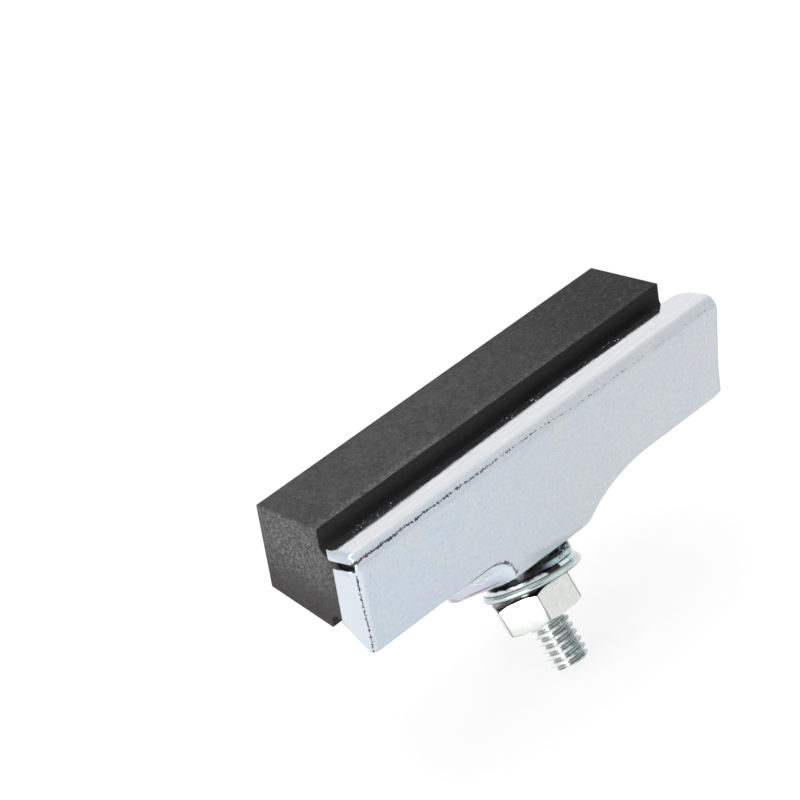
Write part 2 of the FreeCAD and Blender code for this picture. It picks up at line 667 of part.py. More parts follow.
# Hex nut, chamfered on both faces. It bears on the high side of the tilted washer.
nut = new_body("hex_nut", SQUARE)
nut_sketch = new_sketch(nut, "nut_sketch", "XY_Plane", NUT_LOW)
closed_outline(nut_sketch, [
    ("%s * cos(params.nut_turn + %d)" % (CORNER, 60 * i), "%s * sin(params.nut_turn + %d)" % (CORNER, 60 * i))
    for i in range(6)
])
nut_pad = pad(nut, nut_sketch, "nut_pad", "params.nut_height")
bore_sketch = new_sketch(nut, "bore_sketch", "XY_Plane", NUT_TOP + " + 1")
circle_at_origin(bore_sketch, "params.engaged_radius")
nut_bore = pocket_through(nut, bore_sketch, "nut_bore")
bevel_sketch = new_sketch(nut, "bevel_sketch", "XZ_Plane")
BEVEL_OUT = "(%s + 1)" % CORNER
BEVEL_DROP = "((params.nut_chamfer + 1) * tan(params.nut_bevel_angle))"
closed_outline(bevel_sketch, [
    (BEVEL_IN, NUT_LOW),
    (BEVEL_OUT, NUT_LOW + " + " + BEVEL_DROP),
    (BEVEL_OUT, NUT_LOW),
])
closed_outline(bevel_sketch, [
    (BEVEL_IN, NUT_TOP),
    (BEVEL_OUT, NUT_TOP),
    (BEVEL_OUT, NUT_TOP + " - " + BEVEL_DROP),
])
nut_bevel = nut.newObject("PartDesign::Groove", "nut_bevel")
nut_bevel.Label = "nut_bevel"
nut_bevel.Profile = bevel_sketch
nut_bevel.ReferenceAxis = (bevel_sketch, ["V_Axis"])
nut_bevel.Angle = 360
bevel_sketch.Visibility = False
nut.Tip = nut_bevel
document.recompute()

# Every object must be sound before anything is written.
for item in document.Objects:
    if any(word in item.State for word in ("Invalid", "Error")):
        raise RuntimeError("%s is %s" % (item.Label, item.State))
    if hasattr(item, "Shape") and item.TypeId.startswith("PartDesign"):
        if item.Shape.isNull() or not item.Shape.isValid():
            raise RuntimeError("%s has no sound shape" % item.Label)

os.makedirs("parts", exist_ok=True)
for body in (holder, rubber, stud, spring, dished, nut):
    if len(body.Shape.Solids) != 1:
        raise RuntimeError("%s has %d solids" % (body.Label, len(body.Shape.Solids)))
    body.Shape.exportStep("parts/%s.step" % body.Label)
    print("%s %.1f mm3" % (body.Label, body.Shape.Volume))
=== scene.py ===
import json
import math

import bpy
from mathutils import Matrix, Vector


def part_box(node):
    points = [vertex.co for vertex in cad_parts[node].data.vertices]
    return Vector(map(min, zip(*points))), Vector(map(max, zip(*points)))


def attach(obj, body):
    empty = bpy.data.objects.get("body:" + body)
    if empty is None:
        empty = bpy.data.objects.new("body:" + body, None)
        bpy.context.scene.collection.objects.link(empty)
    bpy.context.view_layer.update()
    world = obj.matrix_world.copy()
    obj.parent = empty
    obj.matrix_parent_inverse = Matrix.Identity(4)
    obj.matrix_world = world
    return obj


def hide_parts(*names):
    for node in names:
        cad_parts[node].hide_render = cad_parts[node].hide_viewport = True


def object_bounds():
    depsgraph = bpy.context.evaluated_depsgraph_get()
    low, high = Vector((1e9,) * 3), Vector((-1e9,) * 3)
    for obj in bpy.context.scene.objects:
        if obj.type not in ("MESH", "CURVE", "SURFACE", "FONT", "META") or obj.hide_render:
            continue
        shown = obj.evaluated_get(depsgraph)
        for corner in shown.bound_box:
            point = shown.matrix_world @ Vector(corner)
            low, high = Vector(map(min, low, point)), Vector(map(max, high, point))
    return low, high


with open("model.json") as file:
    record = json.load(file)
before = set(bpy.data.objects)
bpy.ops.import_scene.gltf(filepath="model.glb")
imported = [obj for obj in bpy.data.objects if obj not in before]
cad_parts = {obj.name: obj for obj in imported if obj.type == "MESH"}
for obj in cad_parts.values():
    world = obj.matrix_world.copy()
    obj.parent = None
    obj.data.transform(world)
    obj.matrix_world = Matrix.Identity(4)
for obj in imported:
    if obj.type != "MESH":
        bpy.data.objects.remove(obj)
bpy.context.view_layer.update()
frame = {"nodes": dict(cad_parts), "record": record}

MM = 0.001
ACROSS = Vector((1, 0, 0))
record = frame["record"]
holder_low, holder_high = (Vector(corner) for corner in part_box("holder"))
rubber_low, rubber_high = (Vector(corner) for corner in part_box("rubber_block"))

# The sheet's outer bend corners: where the plate would meet the flange and the tab.
plate_y = holder_low.y
tab_x = holder_low.x
BEND_OVERSHOOT = 0.583 * MM
crease_z = holder_high.z + BEND_OVERSHOOT
SHEET = 1.6 * MM

# The crease over the seat's scoop runs level and then rounds down to the right.
SCOOP_LEFT, SCOOP_RIGHT = -18.4 * MM, -7.4 * MM
SCOOP_ROUND_X, SCOOP_REACH = -13.4 * MM, 5.65 * MM
SCOOP_LOW, SCOOP_RISE = 18.6 * MM, 4.2 * MM
SCOOP_DEPTH, SCOOP_FALL = 0.75 * MM, 2.2 * MM
SCOOP_COLUMNS, SCOOP_ROWS, SCOOP_ROW = 26, 16, 0.4 * MM

# The top flange mirrors less of the rubber than a flat one would, so bump tilts it.
CROWN_TILT = math.tan(math.radians(6.5))

# The stud and its thread, and the nut's corners, measured about the stud's axis.
stud_mount = [mount for mount in record["mounts"] if mount["name"] == "stud"][0]
stud_axis = Vector(stud_mount["axis"]).normalized()
SEAT_DISTANCE = 13.8 * MM
PITCH, MAJOR, MINOR, THREAD_STEPS = 1.27 * MM, 3.175 * MM, 2.40 * MM, 72
NECK, HEAD = 3.15 * MM, 6.57 * MM
LEAD_IN, LEAD_IN_RADIUS = 0.75 * MM, 2.55 * MM
NUT_CORNER = 12.4 * MM / math.sqrt(3)
NUT_CHAMFER, NUT_BEVEL = 0.75 * MM, math.radians(30)

# The washers lean to the side where the spring washer is split.
WASHER_LEAN, SPLIT_TURN = math.radians(4.478), math.radians(20)
split_way = ACROSS * math.cos(SPLIT_TURN) + stud_axis.cross(ACROSS).normalized() * math.sin(SPLIT_TURN)
washer_axis = (stud_axis * math.cos(WASHER_LEAN) - split_way * math.sin(WASHER_LEAN)).normalized()

# The spring washer's outer wall is drawn in by this share, about a centre off its own.
SPRING_WALL, SPRING_SHARE, SPRING_CENTRE = 7.6 * MM, 7.15 / 8.3, ACROSS * 3.9 * MM

# The camera, found from the photo, and what the lamps point at.
AZIMUTH, ELEVATION, ROLL = (math.radians(a) for a in (-40.1273, 35.2288, -9.3452))
DISTANCE, FOCAL_LENGTH, SENSOR_WIDTH = 549.62 * MM, 162, 36
AIM = Vector((tab_x + 35.693 * MM, plate_y + 26.891 * MM, crease_z - 4.4546 * MM))
LAMP_AIM = Vector((0, 0, 20 * MM))

FLOOR_SIZE, FLOOR_GAP, FLOOR_GLOW = 6, 0.5 * MM, 0.78
SKY_LEVEL, SKY_DARK = 0.96, 0.18

# Copies of CAD meshes are merged, and their flat seams dissolved, within these limits.
MERGE_WITHIN, FLAT_WITHIN = 0.002 * MM, math.radians(0.4)

# Tones in linear light, each pair running from the darker to the paler end.
PLATE_NEAR = (0.520, 0.600, 0.690), (0.600, 0.665, 0.725)
PLATE_FAR = (0.525, 0.580, 0.625), (0.595, 0.625, 0.655)
PLATE_SPOTS = (0.36, 0.38, 0.43), (0.80, 0.83, 0.85)
LILAC_TINT, STRAW_TINT = (0.61, 0.56, 0.70), (0.70, 0.645, 0.57)
# Painted light: the flange's streak tones and the tab's tone are paler for the light on those faces.
LIT_FLANGE_STREAKS = (0.735, 0.75, 0.77), (0.83, 0.85, 0.865)
# Painted shade: the rim tone, after the tab's on the next line, darkens the plate's lower rim.
LIT_TAB_TONE, RIM_SHADE = (0.69, 0.745, 0.805), (0.27, 0.33, 0.37)
# The scoop's painted shade, its lilac tint and its painted white reflection.
SCOOP_SHADE, SCOOP_LILAC, SCOOP_REFLECTION = (0.34, 0.37, 0.48), (0.52, 0.50, 0.63), (0.74, 0.83, 0.90)
# Bend dirt, whose tone also paints the shade in the scoop's crease, and pale flange dust.
BEND_DIRT_AND_SHADE, FLANGE_DUST = (0.022, 0.020, 0.022), (0.62, 0.62, 0.60)
RUBBER = (0.029, 0.028, 0.0285), (0.047, 0.047, 0.0485)
RUBBER_FAR, RUBBER_DRAWN, RUBBER_GRAIN = (0.014, 0.0135, 0.014), (0.024, 0.022, 0.023), (0.12, 0.12, 0.122)
RUBBER_SPOTS = (0.012, 0.0115, 0.012), (0.082, 0.082, 0.084)
# The cut end's tones are painted paler for the light falling on that face.
LIT_CUT_END = (0.024, 0.0235, 0.0235), (0.150, 0.150, 0.152)
CUT_FOOT, CUT_PATCH = (0.024, 0.021, 0.0215), (0.030, 0.029, 0.029)
BRAKING_FACE = (0.022, 0.017, 0.019), (0.072, 0.058, 0.060)
# Pale rubbed specks, and painted shade for the groove.
RUBBED_ARRIS, GROOVE_SHADE = (0.15, 0.15, 0.15), (0.010, 0.009, 0.010)


def only(piece):
    """Makes a piece the only one selected, in object mode."""
    if bpy.context.object and bpy.context.object.mode != "OBJECT":
        bpy.ops.object.mode_set(mode="OBJECT")
    bpy.ops.object.select_all(action="DESELECT")
    piece.select_set(True)
    bpy.context.view_layer.objects.active = piece


def edit(piece):
    only(piece)
    bpy.ops.object.mode_set(mode="EDIT")
    bpy.ops.mesh.select_all(action="SELECT")


def leave():
    bpy.ops.object.mode_set(mode="OBJECT")


def apply_all(piece):
    only(piece)
    for modifier in list(piece.modifiers):
        bpy.ops.object.modifier_apply(modifier=modifier.name)


def cad_copy(node, name):
    """A merged copy of a node's mesh, to be worked on."""
    mesh = frame["nodes"][node].data.copy()
    mesh.name = name
    mesh.materials.clear()
    piece = bpy.data.objects.new(name, mesh)
    bpy.context.scene.collection.objects.link(piece)
    edit(piece)
    bpy.ops.mesh.remove_doubles(threshold=MERGE_WITHIN)
    bpy.ops.mesh.dissolve_limited(angle_limit=FLAT_WITHIN)
    leave()
    return piece


def round_edges(piece, width, segments, above):
    bevel = piece.modifiers.new("worn_edges", "BEVEL")
    bevel.width = width
    bevel.segments = segments
    bevel.limit_method = "ANGLE"
    bevel.angle_limit = math.radians(above)
    apply_all(piece)


def smooth(piece, angle=30):
    only(piece)
    bpy.ops.object.shade_smooth_by_angle(angle=math.radians(angle))


def take_over(piece, node, finish):
    piece.data.materials.append(finish)
    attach(piece, "root")
    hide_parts(node)


def new_finish(name):
    finish = bpy.data.materials.new(name)
    finish.use_nodes = True
    tree = finish.node_tree
    shader = tree.nodes["Principled BSDF"]
    place = tree.nodes.new("ShaderNodeTexCoord").outputs["Object"]
    return finish, tree, shader, place


def feed(tree, socket, value):
    """Links a socket to another, or sets it to a constant."""
    if isinstance(value, bpy.types.NodeSocket):
        tree.links.new(value, socket)
    else:
        socket.default_value = value


def maths(tree, kind, first, second=0.0, third=0.0, clamp=False):
    node = tree.nodes.new("ShaderNodeMath")
    node.operation = kind
    node.use_clamp = clamp
    for socket, value in zip(node.inputs, (first, second, third)):
        feed(tree, socket, value)
    return node.outputs[0]


def stretch(tree, place, scale):
    node = tree.nodes.new("ShaderNodeMapping")
    tree.links.new(place, node.inputs["Vector"])
    node.inputs["Scale"].default_value = scale
    return node.outputs["Vector"]


def noise(tree, place, size, detail=3.0, rough=0.55, twist=0.0):
    node = tree.nodes.new("ShaderNodeTexNoise")
    tree.links.new(place, node.inputs["Vector"])
    node.inputs["Scale"].default_value = 1 / size
    node.inputs["Detail"].default_value = detail
    node.inputs["Roughness"].default_value = rough
    node.inputs["Distortion"].default_value = twist
    return node.outputs["Fac"]


def band(tree, value, low, high, start=0.0, end=1.0):
    """Runs smoothly from start to end while a value runs from low to high."""
    node = tree.nodes.new("ShaderNodeMapRange")
    node.interpolation_type = "SMOOTHSTEP"
    for name, number in (("From Min", low), ("From Max", high), ("To Min", start), ("To Max", end)):
        node.inputs[name].default_value = number
    feed(tree, node.inputs["Value"], value)
    return node.outputs["Result"]


def blend(tree, amount, first, second):
    """Mixes two colours, each a socket or a tone."""
    node = tree.nodes.new("ShaderNodeMix")
    node.data_type = "RGBA"
    feed(tree, node.inputs[0], amount)
    feed(tree, node.inputs[6], first if isinstance(first, bpy.types.NodeSocket) else (*first, 1.0))
    feed(tree, node.inputs[7], second if isinstance(second, bpy.types.NodeSocket) else (*second, 1.0))
    return node.outputs[2]


def bump(tree, shader, edge, *layers):
    """Stacks bump layers, each a height and its depth in metres, over softened edges."""
    soft = tree.nodes.new("ShaderNodeBevel")
    soft.samples = 6
    soft.inputs["Radius"].default_value = edge
    normal = soft.outputs["Normal"]
    for height, depth in layers:
        node = tree.nodes.new("ShaderNodeBump")
        node.inputs["Strength"].default_value = 1.0
        node.inputs["Distance"].default_value = depth
        tree.links.new(height, node.inputs["Height"])
        tree.links.new(normal, node.inputs["Normal"])
        normal = node.outputs["Normal"]
    tree.links.new(normal, shader.inputs["Normal"])


def parts_of(tree, place):
    node = tree.nodes.new("ShaderNodeSeparateXYZ")
    tree.links.new(place, node.inputs[0])
    return node.outputs


def about_axis(tree, place, spot, axis):
    """Height along an axis from a spot on it, and distance from the axis."""
    offset = tree.nodes.new("ShaderNodeVectorMath")
    offset.operation = "SUBTRACT"
    tree.links.new(place, offset.inputs[0])
    offset.inputs[1].default_value = spot
    along = tree.nodes.new("ShaderNodeVectorMath")
    along.operation = "DOT_PRODUCT"
    tree.links.new(offset.outputs[0], along.inputs[0])
    along.inputs[1].default_value = axis
    cross = tree.nodes.new("ShaderNodeVectorMath")
    cross.operation = "CROSS_PRODUCT"
    tree.links.new(offset.outputs[0], cross.inputs[0])
    cross.inputs[1].default_value = axis
    length = tree.nodes.new("ShaderNodeVectorMath")
    length.operation = "LENGTH"
    tree.links.new(cross.outputs[0], length.inputs[0])
    return along.outputs["Value"], length.outputs["Value"]


def times(tree, *values):
    product = values[0]
    for value in values[1:]:
        product = maths(tree, "MULTIPLY", product, value)
    return product


def scoop_line(x):
    """Height of the crease over the seat's scoop."""
    share = min(max((x - SCOOP_ROUND_X) / SCOOP_REACH, 0), 1)
    return SCOOP_LOW + SCOOP_RISE * math.sqrt(1 - share * share)


def bend_dirt(tree, turn, drift, width, fade, wander, specks):
    """Speckled dirt along a bend: turn is the coordinate across it and drift its middle there."""
    spread = maths(tree, "ABSOLUTE", maths(tree, "SUBTRACT", maths(tree, "ADD", turn, wander), drift))
    nearness = maths(tree, "SUBTRACT", 1.0, maths(tree, "DIVIDE", spread, width), clamp=True)
    amount = maths(tree, "ADD", maths(tree, "ADD", specks, fade), maths(tree, "MULTIPLY", nearness, 0.20))
    return times(tree, band(tree, amount, 0.615, 0.665), band(tree, nearness, 0.0, 0.2))


def depth_under_crease(tree, x, z):
    """The material's form of scoop_line, as the depth of a point below it."""
    share = maths(tree, "DIVIDE", maths(tree, "SUBTRACT", x, SCOOP_ROUND_X), SCOOP_REACH, clamp=True)
    arch = maths(tree, "SQRT", maths(tree, "SUBTRACT", 1.0, maths(tree, "MULTIPLY", share, share)))
    return maths(tree, "SUBTRACT", maths(tree, "MULTIPLY_ADD", arch, SCOOP_RISE, SCOOP_LOW), z)


def bend_dirt_and_crease_shade(tree, place, x, below, behind, aside, under):
    """Dirt held in the long bend and in the short bend, and painted shade in the scoop's crease."""
    wander = maths(tree, "MULTIPLY", maths(tree, "SUBTRACT", noise(tree, place, 1.0 * MM, 4, 0.7), 0.5), 0.30 * MM)
    specks = noise(tree, place, 0.46 * MM, 3, 0.85)
    long_dirt = times(
        tree,
        bend_dirt(tree, maths(tree, "SUBTRACT", below, behind),
                  band(tree, x, tab_x + 38 * MM, tab_x + 48 * MM, 0.42 * MM, 1.15 * MM),
                  band(tree, x, tab_x, tab_x + 66 * MM, 0.52 * MM, 0.26 * MM),
                  band(tree, x, tab_x + 2 * MM, tab_x + 70 * MM, 0.035, -0.115), wander, specks),
        band(tree, behind, 2.2 * MM, 1.8 * MM))
    short_dirt = times(
        tree,
        bend_dirt(tree, maths(tree, "SUBTRACT", aside, behind),
                  band(tree, below, 4 * MM, 17 * MM, -0.39 * MM, 0.33 * MM), 0.42 * MM, 0.0, wander, specks),
        band(tree, below, 2.6 * MM, 3.6 * MM), band(tree, aside, 2 * MM, 1.5 * MM))
    # painted shade along the scoop's crease, a solid line at the left and broken into specks at the right
    right_end = band(tree, x, -12.5 * MM, -9.3 * MM)
    crease_width = maths(tree, "MULTIPLY_ADD", right_end, 0.75 * MM, 0.17 * MM)
    crease_near = maths(tree, "SUBTRACT", 1.0, maths(tree, "DIVIDE", maths(tree, "ABSOLUTE", under), crease_width),
                        clamp=True)
    solid_line = band(tree, crease_near, 0.15, 0.6)
    broken = times(tree, band(tree, maths(tree, "MULTIPLY_ADD", crease_near, 0.24, specks), 0.60, 0.70),
                   band(tree, crease_near, 0.0, 0.2))
    crease_shade = maths(tree, "MAXIMUM", times(tree, solid_line, band(tree, right_end, 0.9, 0.1)),
                        times(tree, broken, right_end))
    crease_shade = times(tree, crease_shade, band(tree, x, SCOOP_LEFT - 0.5 * MM, SCOOP_LEFT + 3 * MM, 0, 0.9),
                        band(tree, x, -6.9 * MM, -7.6 * MM), band(tree, behind, 1.2 * MM, 0.8 * MM))
    return maths(tree, "MAXIMUM", maths(tree, "MAXIMUM", long_dirt, short_dirt), crease_shade)


def zinc_plating():
    finish, tree, shader, place = new_finish("zinc_plating")
    x, y, z = parts_of(tree, place)
    below = maths(tree, "SUBTRACT", crease_z, z)
    behind = maths(tree, "SUBTRACT", y, plate_y)
    aside = maths(tree, "SUBTRACT", x, tab_x)
    cloud = noise(tree, place, 9 * MM, 5, 0.62, 0.6)
    tint = noise(tree, place, 6 * MM, 3, 0.55, 1.4)
    mottle = noise(tree, place, 0.55 * MM, 4, 0.75)
    grain = noise(tree, place, 0.25 * MM, 2, 0.7)
    drawn = noise(tree, stretch(tree, place, (0.06, 1, 1)), 0.42 * MM, 4, 0.7)

    near_tone = blend(tree, cloud, *PLATE_NEAR)
    far_tone = blend(tree, cloud, *PLATE_FAR)
    base = blend(tree, band(tree, x, tab_x + 8 * MM, tab_x + 48 * MM), near_tone, far_tone)
    base = blend(tree, band(tree, tint, 0.50, 0.72, 0, 0.30), base, LILAC_TINT)
    base = blend(tree, band(tree, tint, 0.50, 0.28, 0, 0.24), base, STRAW_TINT)
    base = blend(tree, band(tree, mottle, 0.46, 0.28, 0, 0.42), base, PLATE_SPOTS[0])
    base = blend(tree, band(tree, mottle, 0.54, 0.72, 0, 0.42), base, PLATE_SPOTS[1])

    # the flange and the tab are painted brighter, as the faces that take the most light, the flange with drawn
    # streaks
    flange = band(tree, behind, 1.1 * MM, 2.3 * MM)
    lit_streaks = blend(tree, band(tree, drawn, 0.30, 0.70), *LIT_FLANGE_STREAKS)
    on_tab = band(tree, aside, 1.5 * MM, 0.4 * MM)
    low = band(tree, below, 1.8 * MM, 3.0 * MM)
    base = blend(tree, times(tree, flange, band(tree, aside, 0.9 * MM, 1.7 * MM)), base, lit_streaks)
    base = blend(tree, times(tree, on_tab, low), base, LIT_TAB_TONE)

    # the scoop under the crease is lilac, with a painted white reflection along its top and painted shade further
    # down
    under = depth_under_crease(tree, x, z)
    in_scoop = times(tree, band(tree, under, 0.0, 0.5 * MM), band(tree, x, SCOOP_LEFT - 5 * MM, SCOOP_LEFT - 2 * MM),
                     band(tree, x, -7.2 * MM, -8.2 * MM), band(tree, z, 9 * MM, 10 * MM))
    lilac_into_shade = blend(tree, band(tree, z, 16.8 * MM, 14 * MM), SCOOP_LILAC, SCOOP_SHADE)
    scoop_light_and_shade = blend(tree, band(tree, under, 1.4 * MM, 4.8 * MM), SCOOP_REFLECTION, lilac_into_shade)
    base = blend(tree, times(tree, in_scoop, 0.85), base, scoop_light_and_shade)

    # painted shade along the plate's lower rim over the fastener, under the fold
    lowness = maths(tree, "MULTIPLY_ADD", x, 0.22, z)
    rim_shade = times(tree, band(tree, lowness, 19.8 * MM, 18.1 * MM), band(tree, behind, 1.2 * MM, 0.8 * MM),
                 band(tree, x, -7.5 * MM, -1 * MM), band(tree, x, 13 * MM, 9 * MM))
    base = blend(tree, times(tree, rim_shade, 0.5), base, RIM_SHADE)

    # dirt along the bends, and painted shade in the scoop's crease
    dirt_and_shade = bend_dirt_and_crease_shade(tree, place, x, below, behind, aside, under)
    base = blend(tree, dirt_and_shade, base, BEND_DIRT_AND_SHADE)

    # pale dust on the flange beside the rubber
    flecks = noise(tree, place, 0.34 * MM, 2, 0.6)
    patches = noise(tree, place, 4 * MM, 3)
    dust = times(tree, band(tree, flecks, 0.65, 0.71), band(tree, patches, 0.50, 0.60),
                 band(tree, behind, 3.6 * MM, 4.6 * MM))
    base = blend(tree, dust, base, FLANGE_DUST)
    feed(tree, shader.inputs["Base Color"], base)
    shine = maths(tree, "SUBTRACT", 1.0, maths(tree, "MAXIMUM", dirt_and_shade, dust), clamp=True)
    feed(tree, shader.inputs["Metallic"], shine)
    rough = maths(tree, "MULTIPLY_ADD", flange, -0.13, band(tree, cloud, 0.3, 0.7, 0.19, 0.27))
    rough = maths(tree, "ADD", rough, maths(tree, "MULTIPLY", maths(tree, "SUBTRACT", 1.0, shine), 0.5))
    feed(tree, shader.inputs["Roughness"], rough)

    # the flange is slightly crowned, so it mirrors less of the rubber
    crown = times(tree, flange, band(tree, below, 3.95 * MM, 3.6 * MM), behind,
                  band(tree, x, tab_x, tab_x + 60 * MM, 1 / MM, 2.1 / MM))
    ripple = noise(tree, stretch(tree, place, (0.35, 1, 1)), 0.9 * MM, 4, 0.7)
    bump(tree, shader, 0.30 * MM, (crown, CROWN_TILT * MM), (noise(tree, place, 6 * MM, 2, 0.4), 0.030 * MM),
         (times(tree, ripple, flange), 0.022 * MM), (mottle, 0.0012 * MM), (grain, 0.0008 * MM))
    return finish


def moulded_rubber():
    finish, tree, shader, place = new_finish("moulded_rubber")
    x, y, z = parts_of(tree, place)
    patch = noise(tree, place, 7 * MM, 5, 0.65, 0.5)
    grain = noise(tree, place, 0.20 * MM, 3, 0.8)
    drawn = noise(tree, stretch(tree, place, (0.05, 1, 1)), 0.5 * MM, 3, 0.7)
    far = band(tree, x, -5 * MM, 38 * MM)
    base = blend(tree, band(tree, patch, 0.35, 0.65), *RUBBER)
    base = blend(tree, times(tree, far, 0.95), base, RUBBER_FAR)
    base = blend(tree, band(tree, drawn, 0.52, 0.75, 0, 0.35), base, RUBBER_DRAWN)
    mottle = noise(tree, place, 0.8 * MM, 6, 0.95)
    base = blend(tree, band(tree, mottle, 0.50, 0.66, 0, 0.75), base, RUBBER_SPOTS[1])
    base = blend(tree, band(tree, mottle, 0.50, 0.34, 0, 0.80), base, RUBBER_SPOTS[0])
    base = blend(tree, band(tree, grain, 0.60, 0.76, 0, 0.6), base, RUBBER_GRAIN)

    # the cut near end is coarser, and painted paler for the light that falls on it; darker towards its foot and its
    # edges
    end = band(tree, x, rubber_low.x + 0.30 * MM, rubber_low.x + 0.12 * MM)
    coarse = noise(tree, place, 0.62 * MM, 6, 0.95)
    cut = blend(tree, band(tree, coarse, 0.40, 0.66), *LIT_CUT_END)
    foot = maths(tree, "MAXIMUM", band(tree, z, rubber_low.z + 11.5 * MM, rubber_low.z + 2 * MM),
                 band(tree, y, plate_y + 9.5 * MM, plate_y + 5 * MM))
    cut = blend(tree, times(tree, foot, 0.88), cut, CUT_FOOT)
    cut = blend(tree, band(tree, patch, 0.55, 0.35, 0, 0.35), cut, CUT_PATCH)
    base = blend(tree, end, base, cut)

    # the braking face has brown drawn lines
    face = band(tree, y, rubber_high.y - 0.25 * MM, rubber_high.y - 0.1 * MM)
    lines = noise(tree, stretch(tree, place, (0.03, 1, 1)), 0.34 * MM, 4, 0.8)
    worn = blend(tree, band(tree, lines, 0.35, 0.65), *BRAKING_FACE)
    base = blend(tree, face, base, worn)

    # pale rubbed specks along the groove's upper arris, painted shade inside the groove
    inside = band(tree, y, plate_y + 9.50 * MM, plate_y + 9.36 * MM)
    arris = times(tree, band(tree, y, plate_y + 9.36 * MM, plate_y + 9.46 * MM),
                  band(tree, y, plate_y + 11.2 * MM, plate_y + 9.8 * MM),
                  band(tree, z, rubber_high.z - 1.2 * MM, rubber_high.z - 0.6 * MM),
                  band(tree, x, rubber_low.x + 70 * MM, rubber_low.x + 5 * MM, 0.25, 1.0))
    rubbed = band(tree, noise(tree, place, 0.5 * MM, 4, 0.85), 0.44, 0.66)
    base = blend(tree, times(tree, arris, rubbed, band(tree, patch, 0.40, 0.58, 0.45, 1.0)), base,
                 RUBBED_ARRIS)
    base = blend(tree, times(tree, inside, maths(tree, "SUBTRACT", 1.0, end), 0.85), base, GROOVE_SHADE)
    feed(tree, shader.inputs["Base Color"], base)
    feed(tree, shader.inputs["Roughness"], band(tree, patch, 0.3, 0.7, 0.66, 0.80))
    shader.inputs["Specular IOR Level"].default_value = 0.22
    bump(tree, shader, 0.15 * MM, (grain, 0.022 * MM), (drawn, 0.018 * MM), (times(tree, coarse, end), 0.10 * MM),
         (times(tree, lines, face), 0.06 * MM))
    return finish


def steel(name, pale, dark, rough, stain, stain_size, grain_depth):
    """Plated steel with stains, used for the screw parts in their own tones."""
    finish, tree, shader, place = new_finish(name)
    patch = noise(tree, place, stain_size * MM, 4, 0.65, 0.8)
    grain = noise(tree, place, 0.25 * MM, 3, 0.7)
    base = blend(tree, band(tree, patch, 0.40, 0.62, 0, stain), pale, dark)
    base = blend(tree, band(tree, grain, 0.62, 0.80, 0, 0.25), base, tuple(0.6 * c for c in dark))
    shader.inputs["Metallic"].default_value = 1.0
    feed(tree, shader.inputs["Roughness"], band(tree, patch, 0.3, 0.7, rough, rough + 0.1))
    bump(tree, shader, 0.10 * MM, (patch, 0.008 * MM), (grain, grain_depth * MM))
    return finish, tree, shader, place, base


def shaded_spring_steel(spot, axis, height_total):
    # The spring washer is painted near black for the shade it lies in between the seat and the cup washer, with
    # painted teal highlights where light reaches its rim and its right side.
    finish, tree, shader, place, base = steel(
        "shaded_spring_steel", (0.038, 0.042, 0.045), (0.010, 0.010, 0.011), 0.14, 0.8, 1.3, 0.003)
    height = about_axis(tree, place, spot, axis)[0]
    streak = noise(tree, place, 1.1 * MM, 3, 0.6, 1.5)
    x = parts_of(tree, place)[0]
    lit = times(tree, band(tree, streak, 0.52, 0.60), band(tree, x, 2.5 * MM, 5.5 * MM))
    lit_rim = times(tree, band(tree, streak, 0.34, 0.46), band(tree, x, -1 * MM, 2.5 * MM),
                band(tree, height, height_total - 1.15 * MM, height_total - 0.75 * MM))
    lit = maths(tree, "MAXIMUM", lit, lit_rim)
    base = blend(tree, lit, base, (0.42, 0.58, 0.62))
    feed(tree, shader.inputs["Base Color"], base)
    return finish


def cup_steel(spot, axis, height_total):
    finish, tree, shader, place, base = steel(
        "cup_steel", (0.62, 0.70, 0.70), (0.46, 0.54, 0.55), 0.15, 0.5, 2.2, 0.001)
    height, reach = about_axis(tree, place, spot, axis)
    # a painted white highlight on the face towards the seat, painted dark reflections over it with a painted dark
    # outline, and darker where the nut bears
    face = times(tree, band(tree, reach, 7.84 * MM, 7.76 * MM), band(tree, height, 1.2 * MM, 1.0 * MM))
    across = maths(tree, "ADD", parts_of(tree, place)[0],
                   maths(tree, "MULTIPLY", noise(tree, place, 1.2 * MM, 3, 0.6), 0.9 * MM))
    dark_reflection = times(tree, band(tree, across, -0.6 * MM, -0.1 * MM), band(tree, across, 2.6 * MM, 2.2 * MM))
    base = blend(tree, times(tree, face, band(tree, across, 4.8 * MM, 4.2 * MM)), base, (0.93, 0.95, 0.95))
    base = blend(tree, times(tree, face, dark_reflection), base, (0.045, 0.036, 0.034))
    highlight_outline = times(tree, band(tree, reach, 7.76 * MM, 7.82 * MM), band(tree, reach, 7.97 * MM, 7.90 * MM),
                    band(tree, across, 4.8 * MM, 4.2 * MM),
                    band(tree, height, 1.2 * MM, 1.0 * MM))
    base = blend(tree, times(tree, highlight_outline, 0.8), base, (0.05, 0.05, 0.05))
    bearing = band(tree, height, height_total - 0.32 * MM, height_total - 0.12 * MM, 0, 0.9)
    base = blend(tree, bearing, base, (0.030, 0.032, 0.034))
    feed(tree, shader.inputs["Base Color"], base)
    return finish


